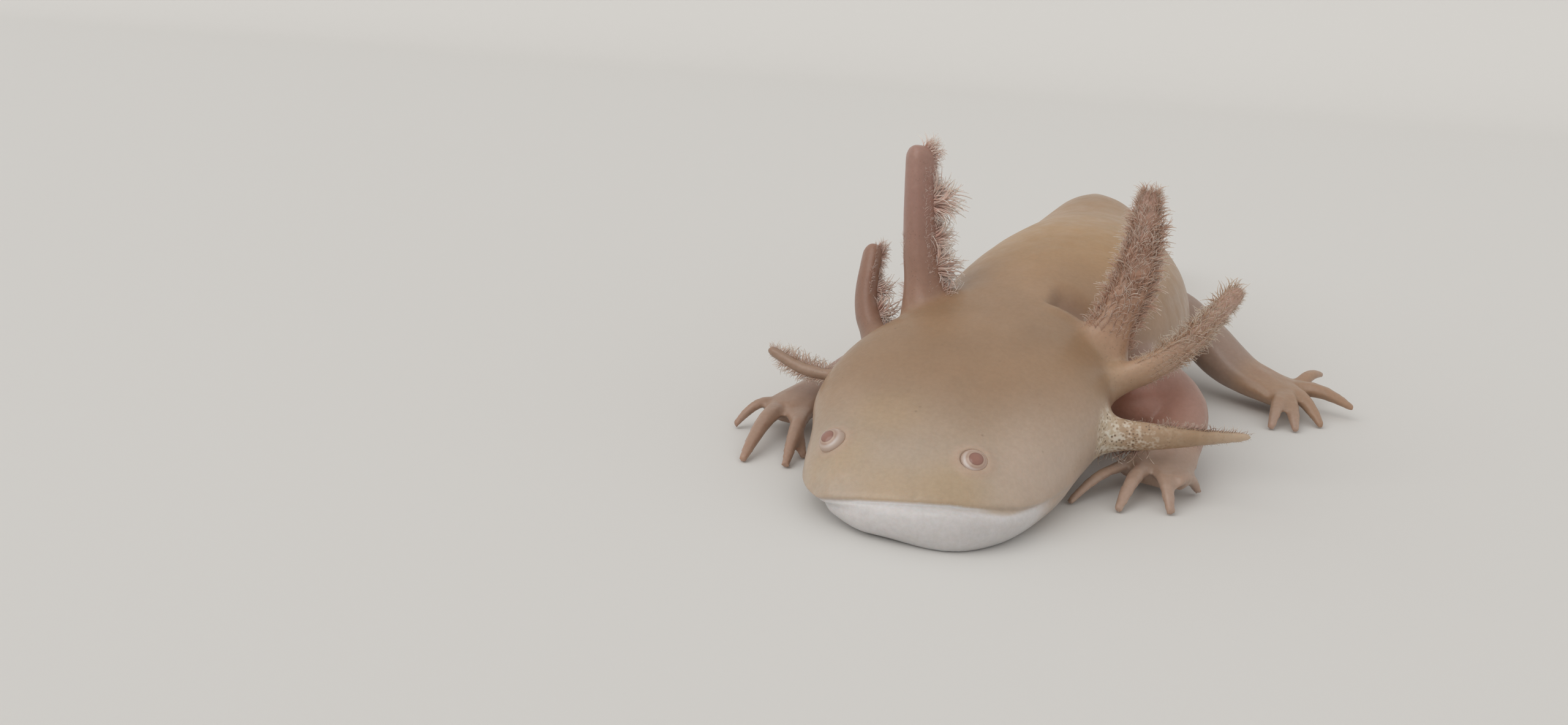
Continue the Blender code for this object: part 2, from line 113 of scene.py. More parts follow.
# ---------------------------------------------------------------- the gill stalks
# Three fleshy stalks stand on each side behind the head. Each is a flat, tapering tongue that bends
# backwards and ends in a round tip. Sizes are in millimetres from the point under the snout.
STALK_FLATNESS = 0.62
TAPER = 1.3
ROOT_FLARE = 1.5  # how far a root of the half width FLARE_HALF widens into the neck
FLARE_HALF = 3.8
ROOT_SHARE = 0.3
STALK_RINGS = 22
STALK_AROUND = 20
RING_CROWDING = 1.4  # how much closer together the rings stand towards the tip
TIP_ROUND = 0.08  # share of the stalk's length over which its tip rounds off
LAST_RING = 0.02  # how wide the tip's last ring stays
STEP = 0.02  # share of the stalk over which its direction is taken
# Push bends the middle, trail is the trailing direction, the halves are half widths, and web is how
# much thicker the trailing side is than the leading side.
STALKS = {
    "gill_upper_left": {
        "base": (20.6, 44.0, 18.4),
        "tip": (24.6, 49.6, 44.6),
        "push": (1.8, 0.0, 0.2),
        "trail": (-0.2, 0.9, 0.1),
        "root_half": 3.8,
        "tip_half": 1.6,
        "web": 1.35,
    },
    "gill_middle_left": {
        "base": (20.6, 39.2, 13.0),
        "tip": (40.2, 53.2, 30.2),
        "push": (1.6, -1.4, -1.6),
        "trail": (-0.3, 0.8, 0.5),
        "root_half": 3.2,
        "tip_half": 1.7,
        "web": 1.35,
    },
    "gill_lower_left": {
        "base": (20.8, 32.6, 8.6),
        "tip": (45.2, 36.6, 11.4),
        "push": (0.0, -0.6, -0.2),
        "trail": (-0.2, 0.9, 0.3),
        "root_half": 3.9,
        "tip_half": 0.8,
        "web": 1.35,
    },
    "gill_upper_right": {
        "base": (-9.4, 43.8, 20.4),
        "tip": (-13.7, 48.4, 48.2),
        "push": (-0.4, 0.0, 0.0),
        "trail": (0.8, 0.6, 0.0),
        "root_half": 3.4,
        "tip_half": 2.4,
        "web": 2.5,
    },
    "gill_middle_right": {
        "base": (-14.8, 39.6, 14.0),
        "tip": (-21.4, 53.2, 29.8),
        "push": (-1.8, 0.0, -1.2),
        "trail": (0.5, 0.8, 0.2),
        "root_half": 3.0,
        "tip_half": 2.0,
        "web": 1.7,
    },
    "gill_lower_right": {
        "base": (-17.4, 33.2, 10.6),
        "tip": (-32.6, 35.0, 12.9),
        "push": (0.0, -0.4, -1.1),
        "trail": (0.1, 0.5, 0.8),
        "root_half": 1.9,
        "tip_half": 1.2,
        "web": 1.35,
    },
}


def on_floor_map(point):
    """A point given in millimetres from the snout, as a place in the row frame."""
    return SNOUT + Vector(point) * MM


class Stalk:
    """The bent middle line of a gill and the directions across it."""

    def __init__(self, base, tip, push, trail, root_half, tip_half, web):
        self.ends = (Vector(base), Vector(base).lerp(Vector(tip), 0.5) + Vector(push), Vector(tip))
        self.trail = Vector(trail)
        self.root_half = root_half
        self.tip_half = tip_half
        self.web = web

    def middle(self, share):
        """A smooth curve through base, middle and tip."""
        base, middle, tip = self.ends
        slope = (tip - base) / 2
        if share < 0.5:
            start, end, first, last, step = base, middle, middle - base, slope, share * 2
        else:
            start, end, first, last, step = middle, tip, slope, tip - middle, share * 2 - 1
        square, cube = step**2, step**3
        return (
            start * (2 * cube - 3 * square + 1)
            + first * (cube - 2 * square + step)
            + end * (3 * square - 2 * cube)
            + last * (cube - square)
        )

    def directions(self, share):
        """Along the stalk, across its flat, and out of its trailing face."""
        along = (self.middle(min(share + STEP, 1.0)) - self.middle(max(share - STEP, 0.0))).normalized()
        across = along.cross(self.trail).normalized()
        return along, across, across.cross(along)

    def half_width(self, share):
        flare = ROOT_FLARE * max(1 - share / ROOT_SHARE, 0.0) ** 2 * self.root_half / FLARE_HALF
        return self.tip_half + (self.root_half - self.tip_half) * (1 - share) ** TAPER + flare

    def on_side(self, share, turn, sunk=0.0):
        """A place on its surface. Turn 0 is the trailing side, and a quarter turn the flat's edge."""
        _along, across, out = self.directions(share)
        rounding = math.sqrt(max(1 - max((share - 1) / TIP_ROUND + 1, 0.0) ** 2, LAST_RING**2))
        depth = STALK_FLATNESS * (self.web if math.cos(turn) > 0 else 1.0)
        offset = across * math.sin(turn) + out * depth * math.cos(turn)
        return self.middle(share) + offset * self.half_width(share) * rounding * (1 - sunk)

    def ring(self, share):
        turns = [2 * math.pi * k / STALK_AROUND for k in range(STALK_AROUND)]
        return [on_floor_map(self.on_side(share, turn)) for turn in turns]


def add_loft(form, rings):
    """A closed skin through rings of points."""
    rows = [[form.verts.new(point) for point in ring] for ring in rings]
    around = len(rows[0])
    for near, far in zip(rows, rows[1:]):
        for k in range(around):
            form.faces.new((near[k], near[(k + 1) % around], far[(k + 1) % around], far[k]))
    form.faces.new(rows[0][::-1])
    form.faces.new(rows[-1])


stalks = {name: Stalk(**sizes) for name, sizes in STALKS.items()}
forms["gill"] = bmesh.new()
for stalk in stalks.values():
    shares = [1 - (1 - k / STALK_RINGS) ** RING_CROWDING for k in range(STALK_RINGS + 1)]
    add_loft(forms["gill"], [stalk.ring(share) for share in shares])
bmesh.ops.recalc_face_normals(forms["gill"], faces=forms["gill"].faces)

SHOULDER = (26.7, 50.9, 9.6)  # soft flesh between the neck and the left upper arm
SHOULDER_SIZE = (5.6, 5.2, 4.4)
bmesh.ops.create_icosphere(
    forms["limb"],
    subdivisions=3,
    radius=MM,
    matrix=Matrix.Translation(on_floor_map(SHOULDER)) @ Matrix.Diagonal((*SHOULDER_SIZE, 1)),
)

# ---------------------------------------------------------------- the skin
# One moist, scaleless skin covers all of it without a seam. It is fused from the flesh and the
# stalks, relaxed where the body is soft, and then gets its lips, eye rims, nostrils and folds.
VOXEL = 0.42 * MM
BLEND = 0.8 * MM  # how softly one kind of flesh passes into the next
SOFTNESS = {"trunk": 1.0, "tail": 0.7, "fin": 0.03, "limb": 0.40, "digit": 0.05, "gill": 0.03}
RELAX_ROUNDS = 150
SKIN_TRIANGLES = 185000
FIN_RISE = 134.0  # how far back the crest of the fin stands out in full
FIN_RISE_LENGTH = 6.0
CREST_SOFTNESS = 0.9  # of the crest in front of that
ROOT_SOFT_SHARE = 0.12  # where along a stalk its join with the neck is softest
ROOT_SOFTNESS = 0.8
ROOT_REACH = 1.6  # how far beyond its half width a stalk softens its join
EYE_SKIN = 3.3 * MM  # how far round an eye the skin has fine faces
OVERGROWTH = {"trunk": 0.0, "tail": 0.1, "fin": 0.22, "limb": 0.14, "digit": 0.12, "gill": 0.0}
MOUTH_LINE = (  # side, height
    (-11.0, 2.9),
    (-7.0, 4.2),
    (-2.6, 5.2),
    (1.6, 5.7),
    (5.6, 6.0),
    (9.4, 6.1),
    (13.0, 5.7),
    (17.0, 4.8),
    (21.0, 4.4),
)
MOUTH_END = 23.5
CROWN_FOLD = ((8.0, 45.6), (11.9, 44.9), (16.2, 44.8), (19.2, 44.0), (22.0, 42.4))  # side, back
EYE_OPENING = 1.75
EYE_SHIFT = {"left": (0.2, 0, -0.6), "right": (1.0, 0, -1.4)}  # from its solid's middle
EYE_LOOK = (0.0, -0.76, 0.65)  # straight ahead and up
EYE_TURN = 0.5  # how much each eye is turned that way from its place's own normal
# Heights and depths of the relief, in millimetres.
LIP_CREASE = 0.30
LIP_ROLL = 0.14
JAW_TUCK = 1.5
JAW_SWELL = 1.3
CHEEK_SWELL = 1.5
SNOUT_SLIMMING = 1.5
CROWN_RISE = 0.4
CROWN_HOLLOW = 1.5
EYE_BED = 1.3
EYE_RIM_RISE = 0.3
NOSTRIL = 0.2
GROOVE = 0.12
GROOVE_SPACING = 5.2
THROAT_FOLD = 0.5
FIN_LIFT = 1.7
TAIL_TIP_HEIGHT = 8.9
TAIL_TIP_SLIMMING = 0.75  # share of its height that the tail's end loses


def plain_mesh(obj):
    """The object's mesh with its modifiers made final."""
    evaluated = obj.evaluated_get(bpy.context.evaluated_depsgraph_get())
    mesh = bpy.data.meshes.new_from_object(evaluated)
    obj.modifiers.clear()
    old = obj.data
    obj.data = mesh
    bpy.data.meshes.remove(old)
    return mesh


def points_of(mesh):
    points = np.empty(len(mesh.vertices) * 3, np.float32)
    mesh.vertices.foreach_get("co", points)
    return points.reshape(-1, 3).astype(float)


def normals_of(mesh):
    normals = np.empty(len(mesh.vertices) * 3, np.float32)
    mesh.vertex_normals.foreach_get("vector", normals)
    return normals.reshape(-1, 3).astype(float)


def store_points(mesh, points):
    mesh.vertices.foreach_set("co", points.astype(np.float32).ravel())
    mesh.update()


def write_values(mesh, name, values):
    attribute = mesh.attributes.get(name) or mesh.attributes.new(name, "FLOAT", "POINT")
    attribute.data.foreach_set("value", values.astype(np.float32))


def read_values(mesh, name):
    values = np.empty(len(mesh.vertices), np.float32)
    mesh.attributes[name].data.foreach_get("value", values)
    return values.astype(float)


def ramp(value, start, end):
    """A smooth step from 0 at start to 1 at end."""
    share = np.clip((value - start) / (end - start), 0, 1)
    return share * share * (3 - 2 * share)


def bell(value, half_width):
    return np.exp(-((value / half_width) ** 2))


def keep_outer_skin(mesh):
    """Deletes the closed pockets that fusing leaves inside."""
    shell = bmesh.new()
    shell.from_mesh(mesh)
    shell.verts.ensure_lookup_table()
    seen = [False] * len(shell.verts)
    pieces = []
    for first in shell.verts:
        if seen[first.index]:
            continue
        seen[first.index] = True
        piece = [first]
        for vert in piece:
            for edge in vert.link_edges:
                other = edge.other_vert(vert)
                if not seen[other.index]:
                    seen[other.index] = True
                    piece.append(other)
        pieces.append(piece)
    pieces.sort(key=len)
    for piece in pieces[:-1]:
        bmesh.ops.delete(shell, geom=piece, context="VERTS")
    shell.to_mesh(mesh)
    shell.free()


fused = bpy.data.meshes.new("axolotl_skin")
whole = bmesh.new()
for form in forms.values():
    form.to_mesh(fused)
    whole.from_mesh(fused)
whole.to_mesh(fused)
whole.free()
skin = bpy.data.objects.new("axolotl_skin", fused)
bpy.context.scene.collection.objects.link(skin)
fuse = skin.modifiers.new("fuse", "REMESH")
fuse.mode = "VOXEL"
fuse.voxel_size = VOXEL
keep_outer_skin(plain_mesh(skin))

# How much each place belongs to each kind of flesh.
points = points_of(skin.data)
FAR = 5 * MM
distances = []
for form in forms.values():
    tree = BVHTree.FromBMesh(form)
    found = (tree.find_nearest(point, FAR) for point in points)
    distances.append([FAR if place is None else distance for place, _normal, _face, distance in found])
    form.free()
nearness = np.exp(-np.array(distances) / BLEND)
nearness /= nearness.sum(0)
for kind, share in zip(forms, nearness):
    write_values(skin.data, kind, share)
softness = sum(SOFTNESS[kind] * share for kind, share in zip(forms, nearness))
for stalk in stalks.values():
    away = np.linalg.norm(points - np.array(on_floor_map(stalk.middle(ROOT_SOFT_SHARE))), axis=1) / MM
    softness = np.maximum(softness, ROOT_SOFTNESS * np.exp(-((away / (stalk.root_half + ROOT_REACH)) ** 4)))
back_of = (points[:, 1] - SNOUT.y) / MM
low_crest = np.clip((FIN_RISE - back_of) / FIN_RISE_LENGTH, 0, 1)
softness = np.maximum(softness, CREST_SOFTNESS * low_crest * nearness[list(forms).index("fin")])
soft_group = skin.vertex_groups.new(name="softness")
for k, value in enumerate(softness):
    soft_group.add([k], float(value), "REPLACE")
relax = skin.modifiers.new("relax", "SMOOTH")
relax.factor = 0.5
relax.iterations = RELAX_ROUNDS
relax.vertex_group = "softness"
plain_mesh(skin)
skin.vertex_groups.clear()
excess = sum(OVERGROWTH[kind] * read_values(skin.data, kind) for kind in OVERGROWTH) * MM
store_points(skin.data, points_of(skin.data) - normals_of(skin.data) * excess[:, None])

# Eye places: where each eyeball comes through the skin, and which way it looks.
relaxed = BVHTree.FromPolygons(
    [v.co for v in skin.data.vertices], [p.vertices for p in skin.data.polygons]
)
eyes = {}
for side, sign in zip(SIDES, (1, -1)):
    forward = Vector((0.1 * sign, -0.7, 0.7)).normalized()
    centre = middle_of(f"eye_{side}") + Vector(EYE_SHIFT[side]) * MM
    place, face_normal, _face, _distance = relaxed.ray_cast(centre + forward * 20 * MM, -forward)
    eyes[side] = (place, (face_normal + EYE_TURN * Vector(EYE_LOOK).normalized()).normalized())


def mouth_height(side):
    return np.interp(side, *zip(*MOUTH_LINE))


def refine(mesh, wanted, rounds):
    """Splits the faces round the wanted places, so that they can carry fine relief."""
    shell = bmesh.new()
    shell.from_mesh(mesh)
    for _round in range(rounds):
        chosen = [edge for edge in shell.edges if wanted(edge.verts[0].co) and wanted(edge.verts[1].co)]
        bmesh.ops.subdivide_edges(shell, edges=chosen, cuts=1, use_grid_fill=True)
    bmesh.ops.triangulate(shell, faces=[face for face in shell.faces if len(face.verts) > 4])
    shell.to_mesh(mesh)
    shell.free()


def beside_eye(place):
    return min((place - centre).length for centre, _outward in eyes.values()) < EYE_SKIN


def beside_mouth(place):
    side, back, height = (place - SNOUT) / MM
    return back < MOUTH_END + 1 and abs(height - mouth_height(side)) < 1.0


refine(skin.data, beside_eye, 2)
refine(skin.data, beside_mouth, 1)

points = points_of(skin.data)
normals = normals_of(skin.data)
SIDE, BACK, HEIGHT = ((points - np.array(SNOUT)) / MM).T
on_trunk = read_values(skin.data, "trunk")
relief = np.zeros(len(points))
above_mouth = HEIGHT - mouth_height(SIDE)
by_mouth = ramp(BACK, MOUTH_END + 1, MOUTH_END - 6) * on_trunk
crease = by_mouth * (0.35 + 0.65 * ramp(BACK, 16, 7))
relief -= LIP_CREASE * bell(above_mouth, 0.26) * crease
relief += LIP_ROLL * bell(above_mouth - 0.8, 0.6) * crease
# The jaw tucks in on the right and swells on the left, and the snout is slimmer on the right.
relief -= JAW_TUCK * ramp(above_mouth, 0.3, -1.2) * ramp(SIDE, -1, -9) * by_mouth
relief += JAW_SWELL * ramp(above_mouth, 0.1, -1.2) * bell(SIDE - 11, 6) * by_mouth
relief += CHEEK_SWELL * bell(SIDE - 18, 4) * ramp(HEIGHT, 9, 4) * ramp(BACK, 30, 20) * on_trunk
relief -= SNOUT_SLIMMING * ramp(SIDE, -7, -11.5) * ramp(BACK, 24, 14) * ramp(HEIGHT, 13, 7) * on_trunk
# The crown ends in a fold in front of the left upper gill, with a hollow behind it.
fold_back = np.interp(SIDE, *zip(*CROWN_FOLD))
behind = BACK - fold_back
at_fold = ramp(SIDE, 10.5, 13.5) * ramp(SIDE, 23, 20) * ramp(HEIGHT, 17, 21) * on_trunk
hollow = ramp(behind, -0.2, 1.2) * ramp(behind, 8, 2.5) * at_fold
relief += CROWN_RISE * bell(behind + 0.9, 1.1) * at_fold - CROWN_HOLLOW * hollow
for side, (centre, outward) in eyes.items():
    away = (points - np.array(centre)) / MM
    depth = away @ np.array(outward)
    radius = np.linalg.norm(away - depth[:, None] * np.array(outward), axis=1)
    near = ramp(np.abs(depth), 4.0, 2.5)
    relief -= EYE_BED * ramp(radius, EYE_OPENING + 0.25, EYE_OPENING - 0.45) * near
    relief += EYE_RIM_RISE * bell(radius - EYE_OPENING - 0.5, 0.8) * near
for sign in (-1, 1):
    nostril = np.hypot(SIDE - sign * 5.2 + 0.4, HEIGHT - 6.9)
    relief -= NOSTRIL * bell(nostril, 0.4) * ramp(BACK, 4, 2) * on_trunk
# Shallow grooves run down the flanks over the ribs, and a fold crosses the throat.
flank = bell(HEIGHT - 14, 8) * ramp(BACK, 62, 68) * ramp(BACK, 106, 98) * on_trunk
relief -= GROOVE * flank * np.clip(np.cos(2 * math.pi * BACK / GROOVE_SPACING) - 0.55, 0, 1) / 0.45
relief -= THROAT_FOLD * bell(BACK - 39, 0.9) * ramp(HEIGHT, 9, 5) * on_trunk
points += normals * (relief * MM)[:, None]
# The lower fin grows out of the tail's underside without a step, and the tail ends in a soft point.
fin_start = ramp(BACK, 153, 141.5) * ramp(HEIGHT, 6.4, 4.4) * read_values(skin.data, "fin")
points[:, 2] += FIN_LIFT * MM * fin_start
points[:, 2] += TAIL_TIP_SLIMMING * ramp(BACK, 224.5, 229.5) * (TAIL_TIP_HEIGHT - HEIGHT) * MM
points[:, 2] = np.maximum(points[:, 2], 0.0)
store_points(skin.data, points)
# The hollow's place is kept for the painted shade laid into it further on.
write_values(skin.data, "hollow", hollow)

# Fewer faces where the skin is plain.
corner_count = sum(len(face.vertices) - 2 for face in skin.data.polygons)
thin = skin.modifiers.new("thin", "DECIMATE")
thin.ratio = SKIN_TRIANGLES / corner_count
plain_mesh(skin)
skin.data.shade_smooth()
points = points_of(skin.data)
normals = normals_of(skin.data)

# Colours of the skin, mixed place by place.


def shade(red, green, blue):
    """A colour as it looks in even light, as a share of light sent back."""
    return np.array([((value / 255 + 0.055) / 1.055) ** 2.4 for value in (red, green, blue)])


HEAD_TOP = shade(150, 124, 98)
HEAD_FRONT = shade(177, 164, 150)
CHEEK = shade(182, 167, 154)
CHIN = shade(203, 205, 210)
THROAT = shade(176, 166, 158)
TRUNK = shade(159, 132, 106)
HUMP = shade(166, 132, 88)
FLANK = shade(141, 121, 103)
# painted shade for the hollow behind the crown fold
HOLLOW_SHADE = shade(132, 104, 84)
ARM = shade(155, 128, 118)
HAND = shade(168, 147, 134)
PALM = shade(162, 132, 126)
RIGHT_HAND = shade(158, 133, 117)
FOOT = shade(162, 135, 113)
SHANK = shade(151, 131, 120)
ROSE = shade(172, 127, 114)
# painted light for the rose patch's lower end, which lies in shade
ROSE_PAINTED_LIGHT = shade(216, 172, 156)
FIN_PALE = shade(166, 146, 126)
EYE_RIM = shade(181, 160, 144)
SALLOW = shade(178, 154, 116)
ROOT_PALE = shade(194, 182, 162)
STALK_TINTS = {  # from root to tip
    "gill_upper_left": ((169, 141, 117), (175, 140, 118), (176, 140, 122), (180, 148, 136)),
    "gill_middle_left": ((174, 150, 126), (174, 147, 124), (174, 144, 128), (178, 150, 138)),
    "gill_lower_left": ((196, 182, 164), (168, 146, 122), (158, 134, 108), (190, 176, 158)),
    "gill_upper_right": ((148, 116, 98), (144, 112, 98), (152, 118, 108), (162, 130, 120)),
    "gill_middle_right": ((142, 112, 92), (138, 106, 90), (136, 102, 86), (146, 114, 98)),
    "gill_lower_right": ((152, 128, 110), (156, 134, 118), (154, 132, 116), (150, 126, 110)),
}
WARMTH = (1.07, 1.02, 0.97)  # lifts every tint, since skin also passes light inwards

tint = np.tile(TRUNK, (len(points), 1))


def lay(colour, amount):
    """Mixes a colour over the skin by an amount at each place."""
    global tint
    tint = tint + (colour - tint) * np.clip(amount, 0, 1)[:, None]


def blot(side, back, height, width):
    """A soft round patch about a place on the skin."""
    return np.exp(-(((SIDE - side) ** 2 + (BACK - back) ** 2 + (HEIGHT - height) ** 2) / width**2) ** 1.5)


SIDE, BACK, HEIGHT = ((points - np.array(SNOUT)) / MM).T
above_mouth = HEIGHT - mouth_height(SIDE)
facing_down = ramp(normals[:, 2], 0.1, -0.6)
flesh = {name: read_values(skin.data, name) for name in (*KINDS, "gill")}
lay(HEAD_TOP, ramp(BACK, 50, 40) * flesh["trunk"])
lay(HEAD_FRONT, ramp(BACK, 24, 2) * flesh["trunk"])
cheek = ramp(SIDE, 8, 16) * ramp(BACK, 40, 26) * ramp(BACK, 2, 12) * ramp(HEIGHT, 20, 8)
lay(CHEEK, cheek * flesh["trunk"])
for place, amount in (((9, 2, 8), 0.5), ((-8, 4, 8), 0.4), ((1, -1, 8), 0.35), ((-4, 12, 14), 0.3)):
    lay(SALLOW, amount * blot(*place, 5.0) * flesh["trunk"])
lay(HUMP, bell(BACK - 80, 26) * ramp(HEIGHT, 22, 31) * flesh["trunk"])
lay(FLANK, bell(BACK - 70, 30) * ramp(HEIGHT, 22, 12) * flesh["trunk"])
# Painted shade: the hollow behind the crown fold is darkened for the shade that falls in it.
lay(HOLLOW_SHADE, 0.8 * read_values(skin.data, "hollow"))
underside = np.maximum(facing_down, ramp(HEIGHT, 4, 1)) * ramp(BACK, 150, 105)
lay(THROAT, underside * (flesh["trunk"] + flesh["tail"]))
lay(CHIN, ramp(above_mouth, 0.2, -0.2) * ramp(BACK, 16, 8) * flesh["trunk"])
lay(ARM, flesh["limb"] * ramp(BACK, 90, 80))
lay(SHANK, flesh["limb"] * ramp(BACK, 80, 90))
lay(HAND, flesh["digit"])
lay(RIGHT_HAND, flesh["digit"] * ramp(SIDE, -10, -18) * ramp(BACK, 70, 60))
lay(FOOT, flesh["digit"] * ramp(BACK, 80, 88))
for place in ((34.2, 43.5, 3), (-26, 39.5, 3), (45, 96, 3)):
    lay(PALM, 0.8 * blot(*place, 4.0) * flesh["digit"])
# The rose patch on the left upper arm is its own colour, made lighter as painted light because the gills
# above shade it.
lay(ROSE, 0.95 * blot(25.5, 47.5, 9.6, 6.5) * flesh["limb"])
lay(ROSE, 0.6 * blot(30, 50, 10, 8) * flesh["limb"])
# Painted light: the rose patch's lower end lies in the gills' shade and is made lighter to cancel it.
lay(ROSE_PAINTED_LIGHT, 0.75 * blot(26.4, 51.4, 8, 4.8) * flesh["limb"])
for eye_centre, _outward in eyes.values():
    away = np.linalg.norm(points - np.array(eye_centre), axis=1) / MM
    lay(EYE_RIM, 0.8 * ramp(away, 3.9, 2.0))
gill_places = [
    (gill, share, on_floor_map(stalks[gill].middle(share)))
    for gill in STALKS
    for share in np.linspace(0, 1, STALK_RINGS)
]
nearest = KDTree(len(gill_places))
for number, (_gill, _share, place) in enumerate(gill_places):
    nearest.insert(place, number)
nearest.balance()
on_stalk = np.tile(TRUNK, (len(points), 1))
for number in np.nonzero(flesh["gill"] > 0.02)[0]:
    gill, share, _place = gill_places[nearest.find(points[number])[1]]
    tints = [shade(*colour) for colour in STALK_TINTS[gill]]
    on_stalk[number] = [np.interp(share, np.linspace(0, 1, len(tints)), part) for part in zip(*tints)]
lay(on_stalk, flesh["gill"])
lay(FIN_PALE, flesh["fin"])
# The root of the lower left gill is pale and mottled.
away = np.linalg.norm(np.stack([SIDE - 21.5, BACK - 32.6, HEIGHT - 8.8], 1), axis=1)
lower_root = ramp(away, 6.0, 4.6) * ramp(SIDE, 17.9, 18.9)
lay(ROOT_PALE, 0.8 * lower_root)
mottled = np.maximum(flesh["gill"] * blot(24, 33, 9, 8) * ramp(HEIGHT, 14, 11), lower_root)
write_values(skin.data, "freckled", ramp(above_mouth, 0.2, 1.2) * flesh["trunk"])
specked = 0.35 * flesh["gill"] + mottled + 0.6 * blot(20, 41, 15, 4)
write_values(skin.data, "specked", np.clip(specked, 0, 1))
write_values(skin.data, "mottled", np.clip(mottled, 0, 1))
colours = np.ones((len(points), 4))
colours[:, :3] = tint * WARMTH
attribute = skin.data.attributes.new("tint", "FLOAT_COLOR", "POINT")
attribute.data.foreach_set("color", colours.astype(np.float32).ravel())


def link(tree, source, target):
    tree.links.new(source, target)


def set_or_link(tree, socket, value):
    """Feeds an input from another node, or with a plain value."""
    if isinstance(value, bpy.types.NodeSocket):
        link(tree, value, socket)
    else:
        socket.default_value = value


def math_node(tree, operation, first, second=0.0):
    node = tree.nodes.new("ShaderNodeMath")
    node.operation = operation
    set_or_link(tree, node.inputs[0], first)
    set_or_link(tree, node.inputs[1], second)
    return node.outputs[0]


def remap_node(tree, source, low, high, out_low=0.0, out_high=1.0):
    node = tree.nodes.new("ShaderNodeMapRange")
    for socket, value in zip(node.inputs, (source, low, high, out_low, out_high)):
        set_or_link(tree, socket, value)
    return node.outputs["Result"]


def mix_node(tree, mode, factor, first, second):
    node = tree.nodes.new("ShaderNodeMix")
    node.data_type = "RGBA"
    node.blend_type = mode
    for number, value in ((0, factor), (6, first), (7, second)):
        set_or_link(tree, node.inputs[number], value)
    return node.outputs[2]


def attribute_node(tree, name, output="Fac"):
    node = tree.nodes.new("ShaderNodeAttribute")
    node.attribute_name = name
    return node.outputs[output]


def bump_node(tree, strength, distance, height):
    node = tree.nodes.new("ShaderNodeBump")
    node.inputs["Strength"].default_value = strength
    node.inputs["Distance"].default_value = distance * MM
    link(tree, height, node.inputs["Height"])
    return node


def new_material(name, **values):
    """A material, its node tree and its shader, with _ for a space in the shader's inputs."""
    material = bpy.data.materials.new(name)
    material.use_nodes = True
    shader = material.node_tree.nodes["Principled BSDF"]
    for label, value in values.items():
        shader.inputs[label.replace("_", " ")].default_value = value
    return material, material.node_tree, shader


def skin_material():
    material, tree, shader = new_material(
        "moist_skin",
        Subsurface_Weight=0.25,
        Subsurface_Radius=(1.0, 0.45, 0.28),
        Subsurface_Scale=2.2 * MM,
        Coat_Weight=0.25,
        Coat_Roughness=0.22,
    )
    place = tree.nodes.new("ShaderNodeTexCoord").outputs["Object"]
    multiply = partial(math_node, tree, "MULTIPLY")
    remap = partial(remap_node, tree)
    mix = partial(mix_node, tree)
    named = partial(attribute_node, tree)

    def noise(size, detail, roughness=0.5):
        node = tree.nodes.new("ShaderNodeTexNoise")
        node.inputs["Scale"].default_value = 1 / (size * MM)
        node.inputs["Detail"].default_value = detail
        node.inputs["Roughness"].default_value = roughness
        link(tree, place, node.inputs["Vector"])
        return node.outputs["Fac"]

    def cells(spacing):
        node = tree.nodes.new("ShaderNodeTexVoronoi")
        node.inputs["Scale"].default_value = 1 / (spacing * MM)
        link(tree, place, node.inputs["Vector"])
        return node.outputs["Distance"]

    # Cloudy variation, broad and fine.
    broad = remap(noise(9.0, 3), 0.3, 0.7)
    fine = remap(noise(0.7, 4, 0.65), 0.35, 0.65)
    broad_tone = mix("MIX", broad, (0.94, 0.93, 0.92, 1), (1.06, 1.05, 1.05, 1))
    fine_tone = mix("MIX", fine, (0.90, 0.89, 0.87, 1), (1.06, 1.06, 1.06, 1))
    colour = mix("MULTIPLY", 1.0, named("tint", "Color"), broad_tone)
    colour = mix("MULTIPLY", 0.5, colour, fine_tone)
    # A few freckles, then specks and pale mottling on the gills.
    freckles = remap(cells(2.2), 0.14, 0.05)
    freckle_patches = remap(noise(5.0, 2), 0.56, 0.62, 0.0, 0.4)
    freckles = multiply(multiply(freckles, freckle_patches), named("freckled"))
    colour = mix("MIX", freckles, colour, (0.13, 0.08, 0.05, 1))
    small_cells = cells(0.52)
    for name, low, high, patches, colour_of_specks in (
        ("specked", 0.30, 0.14, noise(2.2, 2), (0.09, 0.05, 0.035, 1)),
        ("mottled", 0.34, 0.60, noise(1.0, 3), (0.76, 0.71, 0.62, 1)),
        ("mottled", 0.36, 0.18, noise(1.6, 3), (0.10, 0.06, 0.04, 1)),
    ):
        specks = multiply(remap(small_cells, low, high), remap(patches, 0.46, 0.58, 0.0, 0.8))
        colour = mix("MIX", multiply(specks, named(name)), colour, colour_of_specks)
    link(tree, colour, shader.inputs["Base Color"])
    link(tree, remap(noise(3.0, 3), 0.3, 0.7, 0.36, 0.5), shader.inputs["Roughness"])
    pores = bump_node(tree, 0.35, 0.08, noise(0.5, 3))
    waves = bump_node(tree, 0.4, 0.35, noise(4.0, 2))
    link(tree, pores.outputs["Normal"], waves.inputs["Normal"])
    link(tree, waves.outputs["Normal"], shader.inputs["Normal"])
    return material


skin.data.materials.clear()
skin.data.materials.append(skin_material())
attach(skin, "root")
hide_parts(*[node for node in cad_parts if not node.startswith("eye_")])

